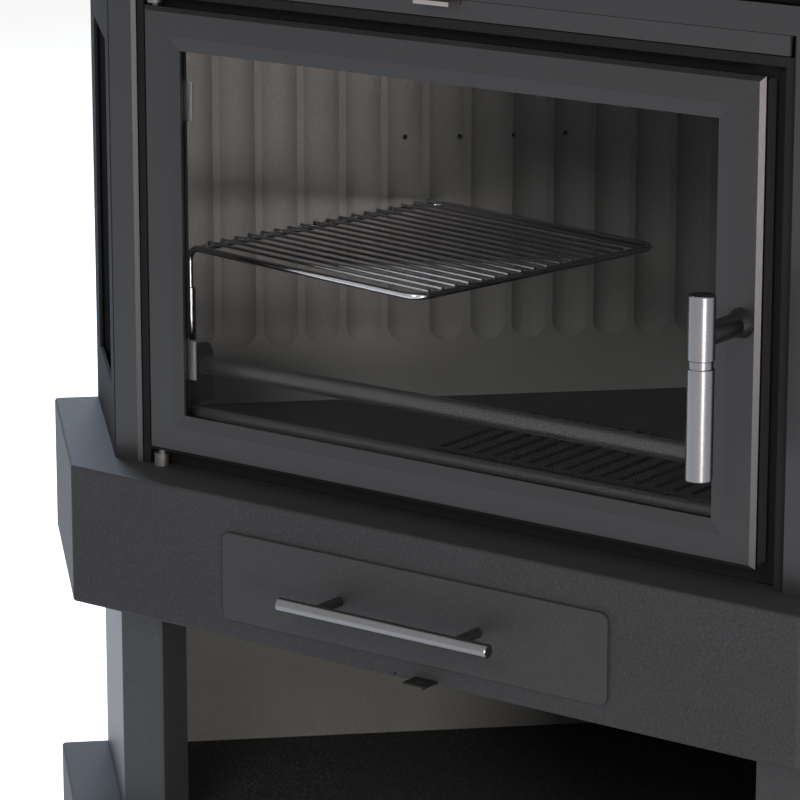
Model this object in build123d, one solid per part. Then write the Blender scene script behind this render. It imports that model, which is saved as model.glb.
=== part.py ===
from build123d import *
import math
import os

os.makedirs("parts", exist_ok=True)

# Corner fireplace of folded sheet steel, for a room corner of 90 degrees.
# Millimetres, Z up, X to the right. While building, Y is measured backwards from the
# front face of the waist box; every piece is shifted to the origin when it is written.

# Plan of the three boxes that stand out: plinth, waist and top cap
BOX_HALF = 380.0
WALL_D = 736.0
REAR_Y = 690.0

# Plan of the upper body and of the lower body, which stand back from the boxes
BODY_HALF = 365.0
BODY_Y = 44.0
LOWER_HALF = 363.0
LOWER_Y = 46.0
LOWER_WALL_D = 727.0
LOWER_REAR_Y = 681.0

# Levels
PLINTH_TOP = 92.0
WAIST_BOTTOM = 313.0
WAIST_TOP = 441.0
BODY_TOP = 941.0
CAP_TOP = 1001.0
COLLAR_TOP = 1061.0

# Sheet thicknesses
BOX_SHEET = 3.0
BODY_SHEET = 3.0
REAR_SHEET = 2.5
LOWER_SHEET = 2.5
STEEL_PLATE = 3.0

# Door opening, all heights above the waist top
OPEN_HALF = 335.0
RIM_WIDTH = 8.0
RIM_Y = 48.5
SEAT_Y = 62.0
SEAT_HALF = 346.0
SEAT_OPEN_HALF = 293.0
SEAT_OPEN_LOW = 45.0
SEAT_OPEN_HIGH = 395.0
RIM_TOP = 432.0
COVER_TOP = 450.0
LINTEL_TOP = 473.0

# Door
DOOR_HALF = 316.6
DOOR_X = -2.4
DOOR_LOW = 17.0
DOOR_HIGH = 416.5
DOOR_Y = 36.8
DOOR_FACE_T = 6.6
DOOR_BACK_Y = 58.0
STILE_FLAT = 29.2
RAIL_FLAT = 24.5
BEVEL_DEPTH = 1.2
DOOR_EDGE = 3.8
HINGE_X = -312.6
HINGE_Y = 48.2
PIN_R = 3.0
PIN_PLAY = 0.06
BOSS_R = 6.4
BOSS_X = -315.3
BOSS_Y = 50.0

# Handle on the right stile
SPINDLE_X = 298.0
SPINDLE_Z = WAIST_TOP + 218.5
SPINDLE_R = 6.0
GRIP_R = 11.0
GRIP_Y = -21.0
GRIP_LOW = WAIST_TOP + 102.5
GRIP_NECK_LOW = WAIST_TOP + 193.5
GRIP_NECK_HIGH = WAIST_TOP + 199.5
GRIP_HIGH = WAIST_TOP + 252.0

# Ash drawer in the waist
DRAWER_HALF = 202.0
DRAWER_LOW = WAIST_TOP - 109.8
DRAWER_HIGH = WAIST_TOP - 30.4
DRAWER_T = 3.0
DRAWER_GAP = 0.4
TRAY_HALF = 183.0
TRAY_DEEP = 430.0
TRAY_LOW = 338.0
TRAY_HIGH = 398.0
TRAY_T = 1.5
BAR_R = 6.0
BAR_Y = -40.0
BAR_LONG = 220.0
BAR_Z = WAIST_TOP - 70.5
POST_PITCH = 146.0
POST_R = 4.5

# Firebox, depths measured square to the outer walls
SIDE_STEEL_IN = 28.0
SIDE_LINER_IN = 31.0
SIDE_LINER_T = 24.0
SHELL_BACK = 3.2
BACK_LINER_IN = 6.2
BACK_LINER_T = 10.8
FLOOR_TOP = WAIST_TOP - 8.0
FLOOR_T = 5.0
LINER_TOP = 880.0
ROOF_LOW = 922.0
ROOF_T = 4.0
FLUE_Y = 400.0
COLLAR_R = 100.0
COLLAR_T = 3.0

# Grate
GRATE_HALF_X = 174.0
GRATE_Y0 = 262.0
GRATE_Y1 = 438.0
SLOTS = 18
SLOT_PITCH = 19.5
SLOT_WIDE = 8.0
SLOT_LONG = 155.0

# Flutes of the back lining
FLUTES = 18
FLUTE_PITCH = 40.2
FLUTE_CHORD = 33.5
FLUTE_DEPTH = 8.0
FLUTE_FOOT = WAIST_TOP + 47.0

# Swivel grill
LEG_X = -335.0
LEG_Y = 116.5
GRILL_TURN = -8.9
GRILL_WIDE = 293.0
GRILL_DEEP = 303.0
GRILL_Z = WAIST_TOP + 186.0
ROD_R = 3.0
WIRE_R = 1.5
WIRES = 18
LEG_LOW = WAIST_TOP + 103.0
SOCKET_LOW = WAIST_TOP + 101.0
SOCKET_HIGH = WAIST_TOP + 149.0

# Origin: the middle of the whole object's box, on the floor
FRONT_REACH = BAR_Y - BAR_R
ORIGIN_Y = (FRONT_REACH + REAR_Y) / 2

ROOT2 = math.sqrt(2)
BODY_K = BODY_Y - BODY_HALF


# Small makers used by every section

def save(name, shape):
    """Write one piece, shifted so that the object's origin is at zero."""
    export_step(Pos(0, -ORIGIN_Y, 0) * shape, f"parts/{name}.step")


def block(x0, x1, y0, y1, z0, z1):
    """A rectangular block between two corners."""
    size = Box(x1 - x0, y1 - y0, z1 - z0)
    return Pos((x0 + x1) / 2, (y0 + y1) / 2, (z0 + z1) / 2) * size


def rod_x(x0, x1, y, z, r):
    """A round bar along X."""
    return Pos((x0 + x1) / 2, y, z) * Rot(0, 90, 0) * Cylinder(r, x1 - x0)


def rod_y(x, y0, y1, z, r):
    """A round bar along Y."""
    return Pos(x, (y0 + y1) / 2, z) * Rot(90, 0, 0) * Cylinder(r, y1 - y0)


def rod_z(x, y, z0, z1, r):
    """A round bar along Z."""
    return Pos(x, y, (z0 + z1) / 2) * Cylinder(r, z1 - z0)


def prism(points, z0, z1):
    """An upright prism on a plan of points."""
    face = make_face(Polyline(*points, close=True))
    return Pos(0, 0, z0) * extrude(face, z1 - z0, dir=(0, 0, 1))


def corner_plan(front_y, half, wall_d, rear_y, inset=0.0):
    """The five-sided plan with its rear corner cut flat, drawn in by inset on every side."""
    y0 = front_y + inset
    side = -half + front_y + inset * ROOT2
    wall = wall_d - inset * ROOT2
    y1 = rear_y - inset
    left = [(side - y0, y0), ((side - wall) / 2, (side + wall) / 2), (y1 - wall, y1)]
    right = [(-x, y) for x, y in reversed(left)]
    return left + right


def fire_plan(y0, side_in, back_in):
    """Plan of the firebox from y0 back, at depths square to the outer walls."""
    k = BODY_K + side_in * ROOT2
    d = WALL_D - back_in * ROOT2
    y1 = REAR_Y - back_in
    left = [(k - y0, y0), ((k - d) / 2, (k + d) / 2), (y1 - d, y1)]
    return left + [(-x, y) for x, y in reversed(left)]


def folded(points, t, z0, z1):
    """A folded sheet: its outer line through points, t thick to the right of the way it runs."""
    def shift(a, b):
        dx, dy = b[0] - a[0], b[1] - a[1]
        long = math.hypot(dx, dy)
        return dy / long * t, -dx / long * t
    inner = []
    for i, p in enumerate(points):
        before = shift(points[i - 1], p) if i > 0 else None
        after = shift(p, points[i + 1]) if i < len(points) - 1 else None
        n0 = before or after
        n1 = after or before
        k = t * t / (t * t + n0[0] * n1[0] + n0[1] * n1[1])
        inner.append((p[0] + (n0[0] + n1[0]) * k, p[1] + (n0[1] + n1[1]) * k))
    return prism(points + inner[::-1], z0, z1)


def round_upright(shape, x, y, r):
    """Round the upright edge that passes through x, y."""
    near = [e for e in shape.edges().filter_by(Axis.Z)
            if abs(e.center().X - x) < 0.5 and abs(e.center().Y - y) < 0.5]
    return fillet(near, r)


def flip(shape):
    """The same piece for the other side."""
    return mirror(shape, about=Plane.YZ)


def side_place():
    """Frame on the left side face: X runs back from the front corner, -Y goes inward."""
    return Plane(origin=(-BODY_HALF, BODY_Y, 0), x_dir=(-1, 1, 0), z_dir=(0, 0, 1))


def in_place(plane, shape):
    """Move a shape drawn in a local frame into the object."""
    return plane.location * shape


BOX_EDGE_R = 4.0


def box_outside(z0, z1, round_low=False):
    """The outside form of a projecting box with softly folded edges."""
    plan = corner_plan(0, BOX_HALF, WALL_D, REAR_Y)
    form = prism(plan, z0, z1)
    for x, y in plan:
        form = round_upright(form, x, y, BOX_EDGE_R)
    rims = form.edges().group_by(Axis.Z)[-1]
    if round_low:
        rims = rims + form.edges().group_by(Axis.Z)[0]
    return fillet(rims, BOX_EDGE_R - 1)


# Plinth: a folded box, open below inside a wide flange
FLANGE = 40.0
plinth = box_outside(0, PLINTH_TOP)
plinth -= prism(corner_plan(0, BOX_HALF, WALL_D, REAR_Y, BOX_SHEET), BOX_SHEET, PLINTH_TOP - BOX_SHEET)
plinth -= prism(corner_plan(0, BOX_HALF, WALL_D, REAR_Y, FLANGE), -1, BOX_SHEET + 1)
save("plinth_box", plinth)

# Log store: floor plate, two folded side sheets with front posts, rear sheet and lining
STORE_FLOOR_T = 2.0
STORE_Z0 = PLINTH_TOP + STORE_FLOOR_T
POST_WIDE = 47.5
POST_RETURN = 35.0
LINING_D = 703.0
LINING_T = 2.0
save("store_floor", prism(corner_plan(LOWER_Y, LOWER_HALF, LOWER_WALL_D, LOWER_REAR_Y, 1.0),
                          PLINTH_TOP, STORE_Z0))

lower_plan = corner_plan(LOWER_Y, LOWER_HALF, LOWER_WALL_D, LOWER_REAR_Y)
inner_x = -LOWER_HALF + POST_WIDE
store_side_line = [lower_plan[1], lower_plan[0], (inner_x, LOWER_Y), (inner_x, LOWER_Y + POST_RETURN)]
store_side = folded(store_side_line[::-1], LOWER_SHEET, STORE_Z0, WAIST_BOTTOM)
store_side = round_upright(store_side, *lower_plan[0], 2.4)
store_side = round_upright(store_side, inner_x, LOWER_Y, 2.4)
save("store_side_left", store_side)
save("store_side_right", flip(store_side))


def along_wall(point, distance):
    """A point moved along the left wall plane towards the rear corner."""
    return (point[0] + distance / ROOT2, point[1] + distance / ROOT2)


side_line = LOWER_Y - LOWER_HALF + (LOWER_SHEET + 0.3) * ROOT2
flat_y = 664.0
start = ((side_line - LINING_D) / 2, (side_line + LINING_D) / 2)
back = LINING_T * ROOT2
bend = (flat_y + LINING_T - LINING_D - back, flat_y + LINING_T)
line = [(start[0] - back / 2, start[1] + back / 2), bend]
line += [(-x, y) for x, y in reversed(line)]
save("store_lining", folded(line, LINING_T, STORE_Z0, WAIST_BOTTOM))

# Waist box: shell with a firebox hole in its top, a drawer mouth, a slider slot and a mark hole
DRAWER_MOUTH_HALF = 190.0
DRAWER_MOUTH_LOW = 335.0
DRAWER_MOUTH_HIGH = 405.0
SLIDER_X0 = 4.8
SLIDER_X1 = 28.5
SLIDER_Z0 = 315.8
SLIDER_T = 1.6
HATCH_IN = 4.5
HATCH_Y = 60.0
waist = box_outside(WAIST_BOTTOM, WAIST_TOP, round_low=True)
waist -= prism(corner_plan(0, BOX_HALF, WALL_D, REAR_Y, BOX_SHEET), WAIST_BOTTOM - 1, WAIST_TOP - BOX_SHEET)
waist -= prism(fire_plan(HATCH_Y, HATCH_IN, BOX_SHEET), WAIST_TOP - BOX_SHEET - 1, WAIST_TOP + 1)
mouth = (-DRAWER_MOUTH_HALF, DRAWER_MOUTH_HALF, -1, BOX_SHEET + 1)
waist -= block(*mouth, DRAWER_MOUTH_LOW, DRAWER_MOUTH_HIGH)
slot = (SLIDER_X0 - 0.5, SLIDER_X1 + 0.5, -1, BOX_SHEET + 1)
waist -= block(*slot, SLIDER_Z0 - 0.3, SLIDER_Z0 + SLIDER_T + 0.5)
waist -= rod_y(-16, -1, BOX_SHEET + 1, WAIST_BOTTOM + 3.2, 1.2)
save("waist_box", waist)

WAIST_FLOOR_T = 2.5
save("waist_floor", prism(corner_plan(0, BOX_HALF, WALL_D, REAR_Y, BOX_SHEET + 0.2),
                          WAIST_BOTTOM, WAIST_BOTTOM + WAIST_FLOOR_T))


def wall_sheet(name, plan, t, z0, z1, gap=0.1):
    """Three flat plates along the inside of the two walls and the cut corner of a plan."""
    left = folded([plan[1], plan[2]], t, z0, z1)
    cut = folded([plan[2], plan[3]], t, z0, z1)
    left = left & block(-2 * BOX_HALF, plan[2][0] + gap, 0, 2 * REAR_Y, z0, z1)
    cut = cut & block(plan[2][0] + gap + 0.1, -plan[2][0] - gap - 0.1, 0, 2 * REAR_Y, z0, z1)
    save(f"{name}_left", left)
    save(f"{name}_right", flip(left))
    save(f"{name}_corner", cut)


# Drawer runners inside the waist box
RUNNER_Z0 = WAIST_BOTTOM + WAIST_FLOOR_T
runner = block(-TRAY_HALF - 8, -TRAY_HALF - 6, BOX_SHEET + 1, 460, RUNNER_Z0, TRAY_LOW + 12)
runner += block(-TRAY_HALF - 7, -TRAY_HALF + 12, BOX_SHEET + 1, 460, TRAY_LOW - 2.5, TRAY_LOW - 0.5)
save("drawer_runners", Compound([runner, flip(runner)]))

# Upper body: two side sheets with a window, and three rear sheets
WINDOW_X0 = 37.0
WINDOW_X1 = 186.0
WINDOW_Z0 = WAIST_TOP + 60.0
WINDOW_Z1 = WAIST_TOP + 375.0
body_plan = corner_plan(BODY_Y, BODY_HALF, WALL_D, REAR_Y)
inner_plan = corner_plan(BODY_Y, BODY_HALF, WALL_D, REAR_Y, BODY_SHEET)
side_end = along_wall(body_plan[1], BODY_SHEET)
side_sheet = prism([body_plan[1], body_plan[0], inner_plan[0], side_end], WAIST_TOP, BODY_TOP)
side_sheet = round_upright(side_sheet, *body_plan[0], 1.5)
side_frame = side_place()
side_sheet -= in_place(side_frame, block(WINDOW_X0, WINDOW_X1, -20, 20, WINDOW_Z0, WINDOW_Z1))
save("side_sheet_left", side_sheet)
save("side_sheet_right", flip(side_sheet))

# Set-back strips behind each side window, with an air slot between them
SLOT_X0 = 78.0
SLOT_X1 = 141.0
INSET_IN = 12.0
inset = block(WINDOW_X0 - 8, WINDOW_X1 + 8, -INSET_IN, -INSET_IN + 2, WINDOW_Z0 - 10, WINDOW_Z1 + 10)
inset -= block(SLOT_X0, SLOT_X1, -INSET_IN - 1, 0, WINDOW_Z0 - 0.1, WINDOW_Z1 - 4)
for x in (WINDOW_X0 - 8, WINDOW_X1 + 6):
    inset += block(x, x + 2, -INSET_IN + 1, -BODY_SHEET, WINDOW_Z0 - 10, WINDOW_Z1 + 10)
inset = in_place(side_frame, inset)
save("side_inset_left", inset)
save("side_inset_right", flip(inset))
rear_start = along_wall(body_plan[1], BODY_SHEET + 0.1)
wall_sheet("rear_sheet", [(0, 0), rear_start] + body_plan[2:4], REAR_SHEET, WAIST_TOP, BODY_TOP)

# Front frame: face sheet with its folded returns round the opening and under the hot air slot
RETURN_Y = 62.0
SLOT_FOLD_Y = 56.0
OPEN_TOP = WAIST_TOP + COVER_TOP
FACE_TOP = WAIST_TOP + LINTEL_TOP
front = block(-BODY_HALF, BODY_HALF, BODY_Y, BODY_Y + BODY_SHEET, WAIST_TOP, FACE_TOP)
front += block(-BODY_HALF + 25, BODY_HALF - 25, BODY_Y, SLOT_FOLD_Y, FACE_TOP - 3, FACE_TOP)
front += block(-OPEN_HALF - 3, OPEN_HALF + 3, BODY_Y, RETURN_Y, WAIST_TOP, OPEN_TOP + 3)
front -= block(-OPEN_HALF, OPEN_HALF, BODY_Y - 1, RETURN_Y + 1, WAIST_TOP - 1, OPEN_TOP)
mitre_x = inner_plan[0][0]
for side in (-1, 1):
    mitre = [(side * 380, BODY_Y - 1), (side * (BODY_HALF - 1.2), BODY_Y - 1),
             (side * (-mitre_x - 0.1), BODY_Y + BODY_SHEET + 0.1), (side * 400, BODY_Y + 40)]
    front -= prism(mitre, WAIST_TOP - 1, CAP_TOP)
edges = [e for e in front.edges().filter_by(Axis.Z)
         if abs(abs(e.center().X) - OPEN_HALF) < 0.1 and abs(e.center().Y - BODY_Y) < 0.1]
front = chamfer(edges, 3.2)
save("front_frame", front)

# Set-back rim round the door gap
RIM_OUT = OPEN_HALF - 0.2
RIM_IN = OPEN_HALF - RIM_WIDTH
RIM_Z = WAIST_TOP + RIM_TOP - RIM_WIDTH
rim = block(-RIM_OUT, RIM_OUT, RIM_Y, RIM_Y + 2, WAIST_TOP, WAIST_TOP + RIM_TOP)
rim += block(-RIM_IN - 2, RIM_IN + 2, RIM_Y, SEAT_Y - 0.2, WAIST_TOP, RIM_Z + 2)
rim -= block(-RIM_IN, RIM_IN, RIM_Y - 1, SEAT_Y + 1, WAIST_TOP - 1, RIM_Z)
save("opening_rim", rim)

# Air cover plate over the opening, with the mouth of the upper air slider
COVER_HALF = 332.6
TAB_HALF = 18.0
TAB_Z = WAIST_TOP + 446.6
TAB_T = 3.0
cover = block(-COVER_HALF, COVER_HALF, BODY_Y, BODY_Y + 3, WAIST_TOP + RIM_TOP + 1.6, OPEN_TOP - 0.4)
cover += block(-COVER_HALF, COVER_HALF, BODY_Y, SEAT_Y - 0.2, OPEN_TOP - 2.4, OPEN_TOP - 0.4)
cover -= block(-TAB_HALF - 0.5, TAB_HALF + 0.5, BODY_Y - 1, SEAT_Y, TAB_Z - 0.4, OPEN_TOP)
save("air_cover_plate", cover)

# Door seat: the plate that the door rope presses on, with a notch for the latch cam
NOTCH_X = 305.6
NOTCH_HALF = 30.0
seat = block(-SEAT_HALF, SEAT_HALF, SEAT_Y, SEAT_Y + 3, WAIST_TOP, ROOF_LOW)
seat -= block(-SEAT_OPEN_HALF, SEAT_OPEN_HALF, SEAT_Y - 1, SEAT_Y + 4,
              WAIST_TOP + SEAT_OPEN_LOW, WAIST_TOP + SEAT_OPEN_HIGH)
seat -= block(SEAT_OPEN_HALF - 1, NOTCH_X, SEAT_Y - 1, SEAT_Y + 4,
              SPINDLE_Z - NOTCH_HALF, SPINDLE_Z + NOTCH_HALF)
seat -= block(-TAB_HALF - 0.5, TAB_HALF + 0.5, SEAT_Y - 1, SEAT_Y + 4, TAB_Z - 0.4, TAB_Z + TAB_T + 0.4)
save("door_seat", seat)

# Firebox: floor plate with a grate bed, flat side and rear plates, flue roof and baffle
FIRE_Y = SEAT_Y + 3
LINER_Y = SEAT_Y + 11


LEDGE = 7.0
floor_plan = fire_plan(FIRE_Y, SIDE_STEEL_IN - 12, SHELL_BACK)
fire_floor = prism(floor_plan, FLOOR_TOP - FLOOR_T - 3, FLOOR_TOP)
fire_floor -= block(-GRATE_HALF_X, GRATE_HALF_X, GRATE_Y0, GRATE_Y1, FLOOR_TOP - FLOOR_T, CAP_TOP)
inner_half = GRATE_HALF_X - LEDGE
fire_floor -= block(-inner_half, inner_half, GRATE_Y0 + LEDGE, GRATE_Y1 - LEDGE, 0, CAP_TOP)
save("firebox_floor", fire_floor)

grate = block(-GRATE_HALF_X + 0.5, GRATE_HALF_X - 0.5, GRATE_Y0 + 0.5, GRATE_Y1 - 0.5,
              FLOOR_TOP - FLOOR_T, FLOOR_TOP + 1.5)
for i in range(SLOTS):
    x = (i - (SLOTS - 1) / 2) * SLOT_PITCH
    y0 = (GRATE_Y0 + GRATE_Y1 - SLOT_LONG) / 2
    grate -= block(x - SLOT_WIDE / 2, x + SLOT_WIDE / 2, y0, y0 + SLOT_LONG, 0, CAP_TOP)
save("grate", grate)

shell_line = fire_plan(FIRE_Y, SIDE_STEEL_IN, SHELL_BACK)
save("firebox_shell", folded(shell_line, STEEL_PLATE, FLOOR_TOP, ROOF_LOW))

liner_out = fire_plan(LINER_Y, SIDE_LINER_IN + 0.1, BACK_LINER_IN + 0.3)
liner_in = fire_plan(LINER_Y, SIDE_LINER_IN + SIDE_LINER_T, BACK_LINER_IN + 0.3)
side_liner = prism([liner_out[0], liner_out[1], liner_in[1], liner_in[0]], FLOOR_TOP, LINER_TOP)
save("side_liner_left", side_liner)
save("side_liner_right", flip(side_liner))

# Fluted back lining: two wall plates and one narrow plate in the cut corner
flute_plan = fire_plan(LINER_Y, SIDE_LINER_IN + SIDE_LINER_T + 0.2, BACK_LINER_IN + 0.3)
front_d = WALL_D - (BACK_LINER_IN + BACK_LINER_T) * ROOT2
front_y = REAR_Y - BACK_LINER_IN - BACK_LINER_T - 0.5
cut_half = front_d - front_y
side_k = flute_plan[1][0] + flute_plan[1][1]
inner_left = ((side_k - front_d) / 2, (side_k + front_d) / 2)
inner_right = [(-cut_half, flute_plan[2][1]), (-cut_half, front_y)]
liner_plan = [flute_plan[1], flute_plan[2], *inner_right, inner_left]
wall_liner = prism(liner_plan, FLOOR_TOP, LINER_TOP)
flute_r = ((FLUTE_CHORD / 2) ** 2 + FLUTE_DEPTH ** 2) / (2 * FLUTE_DEPTH)
liner_run = (-cut_half - inner_left[0]) * ROOT2
liner_frame = Plane(origin=(*inner_left, 0), x_dir=(1, 1, 0), z_dir=(0, 0, 1))
first = (-307.1 - inner_left[0]) * ROOT2 - 6 * FLUTE_PITCH
for i in range(FLUTES):
    x = first + i * FLUTE_PITCH
    if x + FLUTE_CHORD / 2 > liner_run - 3 or x - FLUTE_CHORD / 2 < 3:
        continue
    y = flute_r - FLUTE_DEPTH
    z = FLUTE_FOOT + FLUTE_CHORD / 2
    cutter = rod_z(x, -y, z, LINER_TOP + 1, flute_r) + Pos(x, -y, z) * Sphere(flute_r)
    wall_liner -= in_place(liner_frame, cutter)
for x in (-306.4, -269.4, -232.9, -196.5):
    hole = rod_y((x - inner_left[0]) * ROOT2, -2, BACK_LINER_T + 2, WAIST_TOP + 246, 2.5)
    wall_liner -= in_place(liner_frame, hole)
save("fluted_liner_left", wall_liner)
save("fluted_liner_right", flip(wall_liner))
corner_half = cut_half - 0.2
corner_y = flute_plan[2][1]
save("liner_corner", block(-corner_half, corner_half, front_y, corner_y, FLOOR_TOP, LINER_TOP))

roof = prism(fire_plan(FIRE_Y - 3, SIDE_STEEL_IN, SHELL_BACK), ROOF_LOW, ROOF_LOW + ROOF_T)
roof -= rod_z(0, FLUE_Y, 0, 1200, COLLAR_R - COLLAR_T)
save("firebox_roof", roof)
baffle_left = [(-300, 120), (-400, 190), (-420, 280), (-60, 620)]
save("baffle", prism(baffle_left + [(-x, y) for x, y in reversed(baffle_left)], LINER_TOP, LINER_TOP + 8))

LIP_TOP = WAIST_TOP + 53.0
lip = block(-304, 304, FIRE_Y, FIRE_Y + 14, FLOOR_TOP, LIP_TOP)
lip = fillet(lip.edges().filter_by(Axis.X).group_by(Axis.Z)[-1], 5)
save("front_lip", lip)

# Log guard: a round bar between two small bracket plates
GUARD_Z = WAIST_TOP + 88.0
GUARD_Y = 90.0
GUARD_R = 8.6
bracket = block(-300, -297, FIRE_Y, 102, LIP_TOP, WAIST_TOP + 108)
bracket = fillet(bracket.edges().filter_by(Axis.X).group_by(Axis.Z)[-1].sort_by(Axis.Y)[-1:], 12)
save("guard_brackets", Compound([bracket, flip(bracket)]))
save("log_guard", rod_x(-297, 297, GUARD_Y, GUARD_Z, GUARD_R))

# Swivel grill: socket on the left side lining, bent frame rod and cross wires
leg_run = (LEG_Y - BODY_Y - (LEG_X + BODY_HALF)) / ROOT2
leg_in = (LEG_Y - BODY_Y + LEG_X + BODY_HALF) / ROOT2
socket = rod_z(LEG_X, LEG_Y, SOCKET_LOW, SOCKET_HIGH, 5.2)
liner_face = -SIDE_LINER_IN - SIDE_LINER_T
web = block(leg_run - 1.5, leg_run + 1.5, -leg_in, liner_face, SOCKET_LOW + 8, SOCKET_HIGH - 8)
foot = block(leg_run - 12, leg_run + 12, liner_face - 2, liner_face, SOCKET_LOW, SOCKET_HIGH)
socket += in_place(side_frame, web + foot)
socket -= rod_z(LEG_X, LEG_Y, SOCKET_LOW + 3, SOCKET_HIGH + 1, ROD_R + PIN_PLAY)
save("grill_socket", socket)

turn = Pos(LEG_X, LEG_Y, GRILL_Z) * Rot(0, 0, GRILL_TURN)
CORNER_R = 16.0
KNEE_R = 12.0


x0, x1, y1 = KNEE_R, GRILL_WIDE, GRILL_DEEP
r = CORNER_R
knee_mid = (KNEE_R * 0.2929, 0, -KNEE_R * 0.2929)
path = Wire([
    Edge.make_line((0, 0, LEG_LOW - GRILL_Z + 1.4), (0, 0, -KNEE_R)),
    Edge.make_three_point_arc((0, 0, -KNEE_R), knee_mid, (KNEE_R, 0, 0)),
    Edge.make_line((KNEE_R, 0, 0), (x1 - r, 0, 0)),
    Edge.make_three_point_arc((x1 - r, 0, 0), (x1 - 0.2929 * r, 0.2929 * r, 0), (x1, r, 0)),
    Edge.make_line((x1, r, 0), (x1, y1 - r, 0)),
    Edge.make_three_point_arc((x1, y1 - r, 0), (x1 - 0.2929 * r, y1 - 0.2929 * r, 0), (x1 - r, y1, 0)),
    Edge.make_line((x1 - r, y1, 0), (x0 + r, y1, 0)),
    Edge.make_three_point_arc((x0 + r, y1, 0), (x0 + 0.2929 * r, y1 - 0.2929 * r, 0), (x0, y1 - r, 0)),
])
foot = Plane(origin=(0, 0, LEG_LOW - GRILL_Z + 1.4), z_dir=(0, 0, 1))
rods = sweep(foot * Circle(ROD_R), path=path)
rods += rod_y(x0, 0, y1 - r, 0, ROD_R)
save("grill_frame", turn * rods)

wires = []
for i in range(WIRES):
    y = (i + 0.8) * GRILL_DEEP / (WIRES + 0.6)
    wires.append(turn * rod_x(x0 - 1, x1 + 1, y, ROD_R + WIRE_R - 0.4, WIRE_R))
save("grill_wires", Compound(wires))

# Hinge pins on the waist top and under the rim
low_pin = rod_z(BOSS_X, BOSS_Y, WAIST_TOP, WAIST_TOP + 11.5, BOSS_R)
low_pin += rod_z(HINGE_X, HINGE_Y, WAIST_TOP + 11, WAIST_TOP + DOOR_LOW + 20, PIN_R)
high_pin = rod_z(BOSS_X, BOSS_Y, WAIST_TOP + DOOR_HIGH + 1.5, RIM_Z, BOSS_R)
high_pin += rod_z(HINGE_X, HINGE_Y, WAIST_TOP + DOOR_HIGH - 20, RIM_Z, PIN_R)
high_pin += block(BOSS_X - 6, BOSS_X + 6, BOSS_Y, SEAT_Y, RIM_Z - 2.5, RIM_Z)
save("hinge_pins", Compound([low_pin, high_pin]))

# Door face: a flat band that slopes in to the glass
DOOR_Z0 = WAIST_TOP + DOOR_LOW
DOOR_Z1 = WAIST_TOP + DOOR_HIGH
VIEW_HALF = 275.4
VIEW_LOW = WAIST_TOP + 53.6
VIEW_HIGH = WAIST_TOP + 379.9


def door_block(half, y0, y1, z0, z1):
    """A block on the door's own middle line, half wide to each side."""
    return block(DOOR_X - half, DOOR_X + half, y0, y1, z0, z1)


def view_section(y, half, low, high):
    """A rectangle facing the front at depth y, used for the sloping opening."""
    place = Plane(origin=(DOOR_X, y, (low + high) / 2), x_dir=(1, 0, 0), z_dir=(0, -1, 0))
    return place * Rectangle(2 * half, high - low)


door = door_block(DOOR_HALF, DOOR_Y, DOOR_Y + DOOR_FACE_T, DOOR_Z0, DOOR_Z1)
door = chamfer(door.faces().sort_by(Axis.Y)[0].edges(), DOOR_EDGE)
door -= loft([view_section(DOOR_Y - 0.01, DOOR_HALF - STILE_FLAT, DOOR_Z0 + RAIL_FLAT, DOOR_Z1 - RAIL_FLAT),
              view_section(DOOR_Y + BEVEL_DEPTH, VIEW_HALF, VIEW_LOW, VIEW_HIGH)])
door -= door_block(VIEW_HALF, DOOR_Y, DOOR_Y + 20, VIEW_LOW, VIEW_HIGH)
door -= rod_y(SPINDLE_X, DOOR_Y - 1, DOOR_Y + 20, SPINDLE_Z, SPINDLE_R + PIN_PLAY)
save("door_frame", door)

# Door backing frame: holds the glass, the rope groove and the hinge bores
BACK_Y = DOOR_Y + DOOR_FACE_T
GLASS_HALF = 284.4
GLASS_LOW = VIEW_LOW - 9
GLASS_HIGH = VIEW_HIGH + 9
ROPE_R = 4.0
ROPE_Y = DOOR_BACK_Y - 0.3
ROPE_X0 = -301.0
ROPE_X1 = 308.3
ROPE_Z0 = WAIST_TOP + 35.0
ROPE_Z1 = WAIST_TOP + 403.0


def rope_ring(r, y0, y1):
    """A rectangular ring on the rope line, r to each side of it."""
    ring = block(ROPE_X0 - r, ROPE_X1 + r, y0, y1, ROPE_Z0 - r, ROPE_Z1 + r)
    return ring - block(ROPE_X0 + r, ROPE_X1 - r, y0 - 1, y1 + 1, ROPE_Z0 + r, ROPE_Z1 - r)


backing = door_block(DOOR_HALF - 1, BACK_Y, DOOR_BACK_Y, DOOR_Z0 + 3, DOOR_Z1 - 3)
backing -= door_block(GLASS_HALF + 1, BACK_Y - 1, DOOR_BACK_Y + 1, GLASS_LOW - 1, GLASS_HIGH + 1)
backing -= rope_ring(ROPE_R + 0.1, ROPE_Y - ROPE_R, DOOR_BACK_Y + 1)
backing -= rod_z(HINGE_X, HINGE_Y, WAIST_TOP, DOOR_Z0 + 22, PIN_R + PIN_PLAY)
backing -= rod_z(HINGE_X, HINGE_Y, DOOR_Z1 - 22, BODY_TOP, PIN_R + PIN_PLAY)
backing -= rod_y(SPINDLE_X, BACK_Y - 1, DOOR_BACK_Y + 1, SPINDLE_Z, SPINDLE_R + PIN_PLAY)
save("door_backing", backing)

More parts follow.
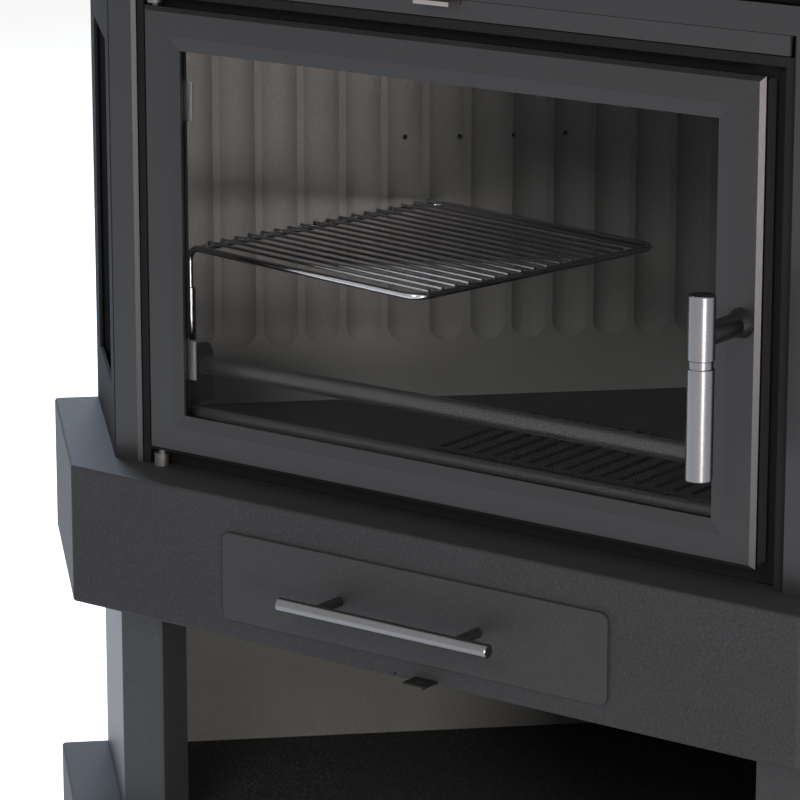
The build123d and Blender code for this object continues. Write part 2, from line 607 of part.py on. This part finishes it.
corners = [(ROPE_X0, ROPE_Z0), (ROPE_X1, ROPE_Z0), (ROPE_X1, ROPE_Z1), (ROPE_X0, ROPE_Z1)]
rope = rod_x(ROPE_X0, ROPE_X1, ROPE_Y, ROPE_Z0, ROPE_R) + rod_x(ROPE_X0, ROPE_X1, ROPE_Y, ROPE_Z1, ROPE_R)
rope += rod_z(ROPE_X0, ROPE_Y, ROPE_Z0, ROPE_Z1, ROPE_R) + rod_z(ROPE_X1, ROPE_Y, ROPE_Z0, ROPE_Z1, ROPE_R)
for x, z in corners:
    rope += Pos(x, ROPE_Y, z) * Sphere(ROPE_R)
save("door_rope", rope)

TAPE_T = 0.6
GLASS_T = 4.0
GLASS_Y = BACK_Y + TAPE_T
tape = door_block(GLASS_HALF, BACK_Y, GLASS_Y, GLASS_LOW, GLASS_HIGH)
tape -= door_block(VIEW_HALF + 1, BACK_Y - 1, GLASS_Y + 1, VIEW_LOW - 1, VIEW_HIGH + 1)
save("glass_tape", tape)
save("door_glass", door_block(GLASS_HALF, GLASS_Y, GLASS_Y + GLASS_T, GLASS_LOW, GLASS_HIGH))

CLIP_LONG = 35.0
CLIP_Y = GLASS_Y + GLASS_T
clips = []
screws = []
for side in (-1, 1):
    for z in (WAIST_TOP + 102, WAIST_TOP + 334.5):
        wall = DOOR_X + side * (GLASS_HALF + 1)
        leg = DOOR_X + side * (GLASS_HALF - 0.5)
        foot = DOOR_X + side * (GLASS_HALF - 14)
        span = (z - CLIP_LONG / 2, z + CLIP_LONG / 2)
        clip = block(min(wall, leg), max(wall, leg), CLIP_Y, DOOR_BACK_Y - 1, *span)
        clip += block(min(wall, foot), max(wall, foot), CLIP_Y, CLIP_Y + 1.5, *span)
        clips.append(clip)
        head = DOOR_X + side * (GLASS_HALF - 3)
        for dz in (-10, 10):
            screws.append(rod_x(min(head, leg), max(head, leg), CLIP_Y + 5.5, z + dz, 2.6))
save("glass_clips", Compound(clips))
save("clip_screws", Compound(screws))

# Handle: spindle with its stub, grip in three lengths, latch cam and its nut
STUB_R = 9.5
STUB_GAP = 0.4
CAM_Y = SEAT_Y + 5.4
CAM_T = 3.0
spindle = rod_y(SPINDLE_X, DOOR_Y - STUB_GAP, CAM_Y + CAM_T, SPINDLE_Z, SPINDLE_R)
save("handle_spindle", spindle)
stub = rod_y(SPINDLE_X, GRIP_Y, DOOR_Y - STUB_GAP, SPINDLE_Z, STUB_R)
flare = Pos(SPINDLE_X, DOOR_Y - STUB_GAP - 5, SPINDLE_Z) * Rot(90, 0, 0) * Cone(STUB_R + 3, STUB_R, 10)
stub += flare
stub -= rod_z(SPINDLE_X, GRIP_Y, GRIP_LOW, GRIP_HIGH, GRIP_R)
stub -= block(SPINDLE_X - 30, SPINDLE_X + 30, GRIP_Y - 30, GRIP_Y, GRIP_LOW, GRIP_HIGH)
save("handle_stub", stub)
grip_low = rod_z(SPINDLE_X, GRIP_Y, GRIP_LOW, GRIP_NECK_LOW, GRIP_R)
grip_low = chamfer(grip_low.edges().filter_by(GeomType.CIRCLE), 0.8)
grip_low += rod_z(SPINDLE_X, GRIP_Y, GRIP_NECK_LOW, GRIP_NECK_HIGH, GRIP_R - 1.2)
save("grip_lower", grip_low)
grip_up = rod_z(SPINDLE_X, GRIP_Y, GRIP_NECK_HIGH, GRIP_HIGH, GRIP_R)
grip_up = chamfer(grip_up.edges().filter_by(GeomType.CIRCLE), 0.8)
save("grip_upper", grip_up)
cam = block(SPINDLE_X - 7, SPINDLE_X + 7, CAM_Y, CAM_Y + CAM_T, SPINDLE_Z - 26, SPINDLE_Z + 8)
cam = fillet(cam.edges().filter_by(Axis.Y), 4)
cam -= rod_y(SPINDLE_X, CAM_Y - 1, CAM_Y + CAM_T + 1, SPINDLE_Z, SPINDLE_R)
save("latch_cam", cam)
nut_face = Plane(origin=(SPINDLE_X, CAM_Y + CAM_T, SPINDLE_Z), z_dir=(0, 1, 0)) * RegularPolygon(8, 6)
save("cam_nut", extrude(nut_face, 4, dir=(0, 1, 0)))

# Ash drawer: front plate, tray, bar handle on two posts
plate_y = -DRAWER_GAP - DRAWER_T
plate = block(-DRAWER_HALF, DRAWER_HALF, plate_y, -DRAWER_GAP, DRAWER_LOW, DRAWER_HIGH)
plate = fillet(plate.edges().filter_by(Axis.Y), 8)
plate = fillet(plate.faces().sort_by(Axis.Y)[0].edges(), 0.8)
save("drawer_front", plate)
tray = block(-TRAY_HALF, TRAY_HALF, -DRAWER_GAP, TRAY_DEEP, TRAY_LOW, TRAY_HIGH)
tray -= block(-TRAY_HALF + TRAY_T, TRAY_HALF - TRAY_T, -DRAWER_GAP + TRAY_T, TRAY_DEEP - TRAY_T,
              TRAY_LOW + TRAY_T, TRAY_HIGH + 1)
save("ash_tray", tray)
bar = rod_x(-BAR_LONG / 2, BAR_LONG / 2, BAR_Y, BAR_Z, BAR_R)
bar = chamfer(bar.edges().filter_by(GeomType.CIRCLE), 0.8)
save("drawer_bar", bar)
posts = []
for side in (-1, 1):
    x = side * POST_PITCH / 2
    post = rod_y(x, BAR_Y, plate_y, BAR_Z, POST_R) - rod_x(-BAR_LONG, BAR_LONG, BAR_Y, BAR_Z, BAR_R)
    posts.append(post & block(-BAR_LONG, BAR_LONG, BAR_Y, 0, 0, CAP_TOP))
save("drawer_posts", Compound(posts))

# Air sliders: the lower one in the waist box, the upper one through the air cover plate
SLIDER_Y = -17.0
slider = block(SLIDER_X0, SLIDER_X1, SLIDER_Y, 95, SLIDER_Z0, SLIDER_Z0 + SLIDER_T)
slider -= block(SLIDER_X0 + 7, SLIDER_X1 - 9, SLIDER_Y + 5, SLIDER_Y + 9, SLIDER_Z0 - 1, SLIDER_Z0 + 5)
slider -= block(SLIDER_X0 + 6, SLIDER_X1 - 6, 70, 88, SLIDER_Z0 - 1, SLIDER_Z0 + 5)
slider += rod_z(SLIDER_X1 - 4, SLIDER_Y + 3, SLIDER_Z0 - 2.2, SLIDER_Z0 + 0.5, 1.6)
save("primary_slider", slider)
guide = block(SLIDER_X0 - 9, SLIDER_X1 + 9, 30, 44, RUNNER_Z0, SLIDER_Z0 + SLIDER_T + 2.5)
guide -= block(SLIDER_X0 - 0.5, SLIDER_X1 + 0.5, 29, 45, RUNNER_Z0 - 1, SLIDER_Z0 + SLIDER_T + 0.5)
save("primary_slider_guide", guide)

tab = block(-TAB_HALF, TAB_HALF, 27, 96, TAB_Z, TAB_Z + TAB_T)
tab += block(-TAB_HALF, TAB_HALF, 27, 30, TAB_Z - 0.8, TAB_Z + TAB_T)
tab = fillet(tab.edges().filter_by(Axis.X).group_by(Axis.Z)[0], 0.7)
save("secondary_slider", tab)
guide = block(-TAB_HALF - 8, TAB_HALF + 8, FIRE_Y, FIRE_Y + 14, TAB_Z - 3, TAB_Z + TAB_T + 3)
guide -= block(-TAB_HALF - 0.5, TAB_HALF + 0.5, FIRE_Y - 1, FIRE_Y + 15, TAB_Z - 0.5, TAB_Z + TAB_T + 0.5)
save("secondary_slider_guide", guide)

# Hot air slot, top cap and flue collar
grille = block(-BODY_HALF + 30, BODY_HALF - 30, SLOT_FOLD_Y, SLOT_FOLD_Y + 2, FACE_TOP - 3, BODY_TOP)
for i in range(25):
    x = (i - 12) * 26.0
    grille -= block(x - 10, x + 10, SLOT_FOLD_Y - 1, SLOT_FOLD_Y + 3, FACE_TOP + 5, BODY_TOP - 6)
save("hot_air_grille", grille)
cap = box_outside(BODY_TOP, CAP_TOP, round_low=True)
cap -= prism(corner_plan(0, BOX_HALF, WALL_D, REAR_Y, BOX_SHEET), BODY_TOP + 2.5, CAP_TOP - BOX_SHEET)
cap -= rod_z(0, FLUE_Y, 0, 1200, COLLAR_R + 4)
save("top_cap", cap)
collar = rod_z(0, FLUE_Y, ROOF_LOW + ROOF_T, CAP_TOP, COLLAR_R + 1)
collar += rod_z(0, FLUE_Y, CAP_TOP, COLLAR_TOP, COLLAR_R)
collar += rod_z(0, FLUE_Y, ROOF_LOW + ROOF_T, ROOF_LOW + ROOF_T + 4, COLLAR_R + 14)
collar -= rod_z(0, FLUE_Y, 0, 1200, COLLAR_R - COLLAR_T)
save("flue_collar", collar)
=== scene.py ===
import math

import bpy
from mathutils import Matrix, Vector

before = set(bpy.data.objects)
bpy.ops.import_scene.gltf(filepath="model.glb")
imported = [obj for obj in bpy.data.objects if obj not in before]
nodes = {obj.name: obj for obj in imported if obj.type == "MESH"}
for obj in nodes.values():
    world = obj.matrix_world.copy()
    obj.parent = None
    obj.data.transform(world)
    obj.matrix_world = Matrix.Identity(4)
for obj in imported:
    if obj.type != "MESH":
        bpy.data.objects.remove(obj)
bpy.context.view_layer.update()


# Plinth, waist and top cap: three boxes folded from 3 mm sheet and sprayed with heat
# resisting anthracite paint, which dries with a fine grain. The folds stay soft, so each
# edge carries a thin light line.

class Value:
    """One output of a node. Sums and products of it add Math nodes to its tree."""

    def __init__(self, tree, socket):
        self.tree = tree
        self.socket = socket

    def maths(self, operation, first, second):
        settings = {"operation": operation}
        return add_node(self.tree, "ShaderNodeMath", settings, {0: first, 1: second})

    def __add__(self, other):
        return self.maths("ADD", self, other)

    def __radd__(self, other):
        return self.maths("ADD", other, self)

    def __sub__(self, other):
        return self.maths("SUBTRACT", self, other)

    def __rsub__(self, other):
        return self.maths("SUBTRACT", other, self)

    def __mul__(self, other):
        return self.maths("MULTIPLY", self, other)

    def __rmul__(self, other):
        return self.maths("MULTIPLY", other, self)


def add_node(tree, kind, settings=None, inputs=None, output=0):
    """Adds a node: first its settings, then the values or links of its sockets."""
    node = tree.nodes.new(kind)
    for key, value in (settings or {}).items():
        setattr(node, key, value)
    for key, value in (inputs or {}).items():
        if isinstance(value, Value):
            tree.links.new(value.socket, node.inputs[key])
        else:
            node.inputs[key].default_value = value
    return Value(tree, node.outputs[output])


class Finish:
    """A material with one principled shader, built node by node."""

    def __init__(self, name, **constants):
        self.material = bpy.data.materials.new(name)
        self.material.use_nodes = True
        self.tree = self.material.node_tree
        self.shader = self.tree.nodes["Principled BSDF"]
        for socket, value in constants.items():
            self.shader.inputs[socket.replace("_", " ")].default_value = value

    def add(self, kind, settings=None, inputs=None, output=0):
        return add_node(self.tree, kind, settings, inputs, output)

    def feed(self, **links):
        """Links values to sockets of the shader, which are named with underscores."""
        for socket, value in links.items():
            self.tree.links.new(value.socket, self.shader.inputs[socket.replace("_", " ")])

    def place(self):
        """The point on the piece, in metres."""
        return self.add("ShaderNodeTexCoord", output="Object")

    def coordinate(self, axis):
        return self.add("ShaderNodeSeparateXYZ", None, {0: self.place()}, output=axis)

    def noise(self, scale, detail=2.0, roughness=0.5):
        inputs = {"Vector": self.place(), "Scale": scale, "Detail": detail, "Roughness": roughness}
        return self.add("ShaderNodeTexNoise", None, inputs, output="Fac")

    def between(self, factor, first, second):
        """A colour that goes from first to second as factor goes from 0 to 1."""
        colours = [c if isinstance(c, Value) else (*c, 1.0) for c in (first, second)]
        inputs = {0: factor, 6: colours[0], 7: colours[1]}
        return self.add("ShaderNodeMix", {"data_type": "RGBA"}, inputs, output=2)

    def spread(self, value, low, high):
        """Stretches low to high over 0 to 1."""
        return self.add("ShaderNodeMapRange", None, {0: value, 1: low, 2: high})

    def contrast(self, grains):
        """Stretches the middle of a noise, where nearly all of its values lie."""
        return self.spread(grains, 0.3, 0.7)

    def bump(self, height, distance, strength=0.5):
        inputs = {"Height": height, "Distance": distance, "Strength": strength}
        return self.add("ShaderNodeBump", None, inputs)


def scaled(colour, factor):
    return tuple(c * factor for c in colour)


def dress(finish, *names):
    """Gives CAD nodes a finish in every one of their material slots."""
    for name in names:
        mesh = nodes[name].data
        if not mesh.materials:
            mesh.materials.append(finish.material)
        for index in range(len(mesh.materials)):
            mesh.materials[index] = finish.material


def stove_paint(name, colour, grain, roughness, fleck=0.12, shine=0.3, painted_shade_behind=None):
    """Sprayed heat resisting paint with fine grains and faint clouds.

    grain is the number of grains per metre, fleck their contrast and shine the strength of
    reflections. Behind a given depth the colour is painted shade: near black, as a folded
    return in shade looks.
    """
    paint = Finish(name, Metallic=0.0, Specular_IOR_Level=shine)
    grains = paint.noise(grain, 3.0, 0.6)
    clouds = paint.noise(7.0, 3.0)
    flecks = paint.contrast(grains) * (2 * fleck) + paint.contrast(clouds) * 0.12
    tone = flecks + (0.44 - fleck)
    coloured = paint.between(tone, scaled(colour, 0.55), scaled(colour, 1.45))
    # Painted shade: behind the given depth the colour turns near black and metallic, standing in
    # for the shade in folded returns and rear faces.
    if painted_shade_behind is not None:
        behind = paint.spread(paint.coordinate("Y"), painted_shade_behind, painted_shade_behind + 0.001)
        coloured = paint.between(behind, coloured, (0.006, 0.006, 0.006))
        paint.feed(Metallic=behind)
    paint.feed(Base_Color=coloured)
    paint.feed(Roughness=grains * 0.16 + (roughness - 0.08))
    paint.feed(Normal=paint.bump(grains, 0.00012))
    return paint


box_paint = stove_paint("box_paint", (0.034, 0.034, 0.036), 560, 0.62, fleck=0.3, shine=0.12)
dress(box_paint, "plinth_box", "waist_box", "top_cap")

# Log store: side sheets folded round the front posts, and a lining of warm grey sheet.
# The floor plate carries the same rough black coat as the firebox floor.
store_paint = stove_paint("store_paint", (0.026, 0.026, 0.028), 560, 0.5, fleck=0.3)
dress(store_paint, "store_side_left", "store_side_right", "waist_floor", "drawer_runners",
      "primary_slider_guide")


def grained_lining(name, colour):
    """A dry warm grey surface with fine pale and dark grains."""
    lining = Finish(name, Metallic=0.0, Specular_IOR_Level=0.25)
    grains = lining.noise(1100, 2.0, 0.7)
    clouds = lining.noise(9.0, 4.0, 0.6)
    tone = lining.contrast(grains) * 0.9 + lining.contrast(clouds) * 0.2
    lining.feed(Base_Color=lining.between(tone, scaled(colour, 0.62), scaled(colour, 1.45)))
    lining.feed(Roughness=grains * 0.2 + 0.62)
    lining.feed(Normal=lining.bump(grains, 0.0002))
    return lining


store_lining = grained_lining("store_lining", (0.104, 0.104, 0.097))
dress(store_lining, "store_lining")


def black_coat(name, fleck, painted_shade_below=0.0):
    """A rough near black coat with scattered grey specks; below a given height the specks are left
    out as painted shade.
    """
    coat = Finish(name, Metallic=0.0, Specular_IOR_Level=0.3)
    grains = coat.noise(620, 2.0, 0.8)
    # Painted shade: below the given height the grey specks are left out, so the grate's slots read
    # plain black.
    above = coat.spread(coat.coordinate("Z"), painted_shade_below, painted_shade_below + 0.0005)
    specks = coat.spread(grains, 0.54, 0.66) * above
    coat.feed(Base_Color=coat.between(specks * fleck, (0.01, 0.01, 0.0105), (0.15, 0.15, 0.15)))
    coat.feed(Roughness=grains * 0.3 + 0.5)
    coat.feed(Normal=coat.bump(grains, 0.0004, 0.7))
    return coat


floor_coat = black_coat("floor_coat", 0.9)
dress(floor_coat, "store_floor", "firebox_floor")

# Upper body: mitred side sheets with a window each, rear sheets and the front frame, in a
# smoother paint than the boxes. The frame's folded returns and the shell's rear get painted shade,
# near black.
# Behind these depths the frame's returns and the shell's rear are painted shade, near black.
FRAME_RETURN_Y = -0.2745
SHELL_REAR_Y = -0.05
body_paint = stove_paint("body_paint", (0.024, 0.0245, 0.0275), 600, 0.8, fleck=0.2, shine=0.05)
dress(body_paint, "side_sheet_left", "side_sheet_right", "side_inset_left", "side_inset_right",
      "rear_sheet_left", "rear_sheet_right", "rear_sheet_corner")
frame_paint = stove_paint("frame_paint", (0.019, 0.019, 0.021), 600, 0.34, fleck=0.2, shine=0.36,
                          painted_shade_behind=FRAME_RETURN_Y)
dress(frame_paint, "front_frame")
cover_paint = stove_paint("cover_paint", (0.026, 0.026, 0.028), 1000, 0.4)
dress(cover_paint, "air_cover_plate")
# Seen through the side windows: warm beige in front, with near black painted shade at the rear.
window_paint = stove_paint("window_paint", (0.26, 0.235, 0.2), 900, 0.6,
                           painted_shade_behind=SHELL_REAR_Y)
dress(window_paint, "firebox_shell")
rim_paint = stove_paint("rim_paint", (0.012, 0.012, 0.012), 900, 0.7, shine=0.1)
dress(rim_paint, "opening_rim")
# The door seat's near black is partly its own dark finish and partly painted shade of the gap
# round the door.
dark_paint = stove_paint("dark_paint", (0.009, 0.009, 0.0095), 900, 0.7, shine=0.15)
dress(dark_paint, "door_seat", "firebox_roof", "hot_air_grille", "flue_collar",
      "secondary_slider_guide")

# Firebox lining: fluted plates on the two rear walls, plain ones at the sides, and a
# baffle above, all cast in a fine warm grey.
fire_lining = grained_lining("fire_lining", (0.215, 0.211, 0.202))
dress(fire_lining, "fluted_liner_left", "fluted_liner_right", "liner_corner",
      "side_liner_left", "side_liner_right", "baffle")

# Front ledge and grate: a painted ledge in front of the floor, and a slotted cast plate
# with a dull black coat, whose slots get painted shade: plain black without specks.
lip_paint = stove_paint("lip_paint", (0.06, 0.06, 0.064), 900, 0.45, fleck=0.18)
dress(lip_paint, "front_lip")
GRATE_SLOT_Z = 0.4335
grate_coat = black_coat("grate_coat", 0.8, GRATE_SLOT_Z)
dress(grate_coat, "grate")

# Log guard: a satin black tube between two small dull plates.
bracket_paint = stove_paint("bracket_paint", (0.008, 0.008, 0.008), 900, 0.6, fleck=0.18,
                            shine=0.15)
dress(bracket_paint, "guard_brackets")
guard_coat = Finish("guard_coat", Specular_IOR_Level=0.5)
guard_grain = guard_coat.noise(700)
guard_dark = (0.018, 0.018, 0.019)
guard_light = (0.042, 0.042, 0.044)
guard_coat.feed(Base_Color=guard_coat.between(guard_grain, guard_dark, guard_light))
guard_coat.feed(Roughness=guard_grain * 0.15 + 0.33)
dress(guard_coat, "log_guard")

# Door: a face plate with a bevelled opening, in smooth anthracite paint, with a backing
# frame, clear ceramic glass on black tape, and four clips with screws.
# Behind this depth the door's side edges are painted shade, near black.
DOOR_EDGE_Y = -0.281
door_paint = stove_paint("door_paint", (0.018, 0.018, 0.0195), 600, 0.34, fleck=0.2, shine=0.33,
                         painted_shade_behind=DOOR_EDGE_Y)
dress(door_paint, "door_frame")
backing_paint = stove_paint("backing_paint", (0.02, 0.02, 0.021), 900, 0.55)
dress(backing_paint, "door_backing", "latch_cam")
glass = Finish("door_glass", Base_Color=(0.02, 0.02, 0.02, 1.0), Roughness=0.04, IOR=1.5)
smear = glass.noise(14.0, 4.0, 0.6)
glass.feed(Alpha=smear * 0.03 + 0.03)
glass.material.blend_method = "BLEND"
dress(glass, "door_glass")
tape = Finish("glass_tape", Roughness=0.9)
tape_weave = tape.noise(1600)
tape.feed(Base_Color=tape.between(tape_weave, (0.01, 0.01, 0.01), (0.035, 0.035, 0.035)))
dress(tape, "glass_tape", "door_rope")


def bare_steel(name, colour, roughness, stretch=(1.0, 1.0, 1.0)):
    """Metal with fine polishing marks, drawn out along one direction."""
    steel = Finish(name, Metallic=1.0)
    along = steel.add("ShaderNodeMapping", None, {"Vector": steel.place(), "Scale": stretch})
    inputs = {"Vector": along, "Scale": 900.0, "Detail": 3.0}
    marks = steel.add("ShaderNodeTexNoise", None, inputs, output="Fac")
    steel.feed(Base_Color=steel.between(marks, scaled(colour, 0.9), scaled(colour, 1.08)))
    steel.feed(Roughness=marks * 0.1 + (roughness - 0.05))
    return steel


clip_steel = bare_steel("clip_steel", (0.8, 0.79, 0.77), 0.4)
dress(clip_steel, "glass_clips", "clip_screws", "cam_nut")
pin_steel = bare_steel("pin_steel", (0.15, 0.147, 0.14), 0.6)
dress(pin_steel, "hinge_pins")

# Handle: a dark stub on the spindle carries a turned grip of polished stainless steel,
# with a narrow neck between its two lengths.
grip_steel = bare_steel("grip_steel", (0.17, 0.17, 0.178), 0.27, (1.0, 1.0, 0.05))
dress(grip_steel, "grip_lower", "grip_upper")
stub_steel = bare_steel("stub_steel", (0.11, 0.105, 0.105), 0.34)
dress(stub_steel, "handle_stub", "handle_spindle")

# Ash drawer: a painted plate with a round bar of brushed steel on two posts, and a tray
# of dark sheet behind it.
drawer_paint = stove_paint("drawer_paint", (0.029, 0.029, 0.03), 560, 0.5, fleck=0.3, shine=0.2)
dress(drawer_paint, "drawer_front", "ash_tray")
bar_steel = bare_steel("bar_steel", (0.16, 0.158, 0.165), 0.3, (0.05, 1.0, 1.0))
dress(bar_steel, "drawer_bar", "drawer_posts")

# Air sliders: strips of steel whose ends stand out as tabs. The lower one is painted
# black, the upper one has a rounded lip of bare metal.
dress(dark_paint, "primary_slider")
tab_steel = bare_steel("tab_steel", (0.3, 0.27, 0.26), 0.35)
dress(tab_steel, "secondary_slider")

# Swivel grill: bent rod and straight wires, bright chrome, in a plain sleeve.
chrome = bare_steel("grill_chrome", (0.42, 0.42, 0.44), 0.16)
dress(chrome, "grill_frame", "grill_socket", "grill_wires")

# Floor: plain and pale. It keeps the shadow, and what the camera, a reflection or the
# glass shows of it is lifted to white.
FLOOR_HALF = 6.0
FLOOR_Z = -0.001


def stage_floor():
    mesh = bpy.data.meshes.new("studio_floor")
    signs = [(-1, -1), (1, -1), (1, 1), (-1, 1)]
    corners = [(x * FLOOR_HALF, y * FLOOR_HALF, FLOOR_Z) for x, y in signs]
    mesh.from_pydata(corners, [], [(0, 1, 2, 3)])
    piece = bpy.data.objects.new("studio_floor", mesh)
    bpy.context.collection.objects.link(piece)
    return piece


def light_path(tree, ray):
    return add_node(tree, "ShaderNodeLightPath", output=ray)


floor = stage_floor()
floor_white = Finish("floor_white", Base_Color=(0.8, 0.8, 0.8, 1.0), Roughness=0.9,
                     Specular_IOR_Level=0.0, Emission_Strength=1.0)
rays = light_path(floor_white.tree, "Is Camera Ray")
rays = rays + light_path(floor_white.tree, "Is Glossy Ray")
rays = rays + light_path(floor_white.tree, "Is Transmission Ray")
lift = floor_white.between(rays, (0.0, 0.0, 0.0), (0.68, 0.68, 0.68))
floor_white.feed(Emission_Color=lift)
floor.data.materials.append(floor_white.material)

# Surround: white where the camera, a reflection or the glass shows it, and a dim even
# light otherwise.
world = bpy.data.worlds.new("studio")
bpy.context.scene.world = world
world.use_nodes = True
sky = world.node_tree
sky.nodes.clear()
WHITE = (1.0, 1.0, 1.0, 1.0)
shown = light_path(sky, "Is Camera Ray")
for ray in ("Is Transmission Ray", "Is Glossy Ray"):
    shown = shown.maths("MAXIMUM", shown, light_path(sky, ray))
dim = add_node(sky, "ShaderNodeBackground", None, {"Color": WHITE, "Strength": 0.3})
bright = add_node(sky, "ShaderNodeBackground", None, {"Color": WHITE, "Strength": 1.0})
surround = add_node(sky, "ShaderNodeMixShader", None, {0: shown, 1: dim, 2: bright})
sky_output = sky.nodes.new("ShaderNodeOutputWorld")
sky.links.new(surround.socket, sky_output.inputs["Surface"])


# Lamps: a broad cool one behind the left, a low warm one at the right that catches the
# chamfers, one above the camera and a dim one overhead.

def lamp(name, place, aim_z, size, power, colour):
    """A square soft lamp that points at the object's middle at height aim_z."""
    data = bpy.data.lights.new(name, "AREA")
    data.shape = "SQUARE"
    data.size = size
    data.energy = power
    data.color = colour
    piece = bpy.data.objects.new(name, data)
    bpy.context.collection.objects.link(piece)
    piece.location = place
    aim = Vector((0, 0, aim_z)) - Vector(place)
    piece.rotation_euler = aim.to_track_quat("-Z", "Y").to_euler()


lamp("left_lamp", (-2.3, 1.5, 3.1), 0.6, 1.6, 185, (0.62, 0.78, 1.0))
lamp("right_lamp", (2.7, -2.05, 0.4), 0.7, 0.6, 55, (1.0, 0.92, 0.89))
lamp("front_lamp", (0.9, -3.6, 2.5), 0.8, 1.2, 50, (1.0, 0.98, 0.96))
lamp("top_lamp", (0.0, 0.2, 3.6), 0.6, 1.6, 25, (1.0, 1.0, 1.0))

# Camera: a long lens from the right and a little above, as in the photograph.
FOCAL_PIXELS = 3892.35
IMAGE_PIXELS = 800
CENTRE_X = 395.26
CENTRE_Y = 404.04
TILT_DOWN = 14.28354
TURN_LEFT = 36.84691
camera_data = bpy.data.cameras.new("camera")
camera_data.sensor_width = 36.0
camera_data.lens = FOCAL_PIXELS / IMAGE_PIXELS * camera_data.sensor_width
camera_data.shift_x = (IMAGE_PIXELS / 2 - CENTRE_X) / IMAGE_PIXELS
camera_data.shift_y = (CENTRE_Y - IMAGE_PIXELS / 2) / IMAGE_PIXELS
camera = bpy.data.objects.new("camera", camera_data)
bpy.context.collection.objects.link(camera)
camera.location = (1.87668, -2.84735, 1.35654)
camera.rotation_euler = (math.radians(90 - TILT_DOWN), 0, math.radians(TURN_LEFT))
bpy.context.scene.camera = camera
bpy.context.scene.view_settings.view_transform = "Standard"
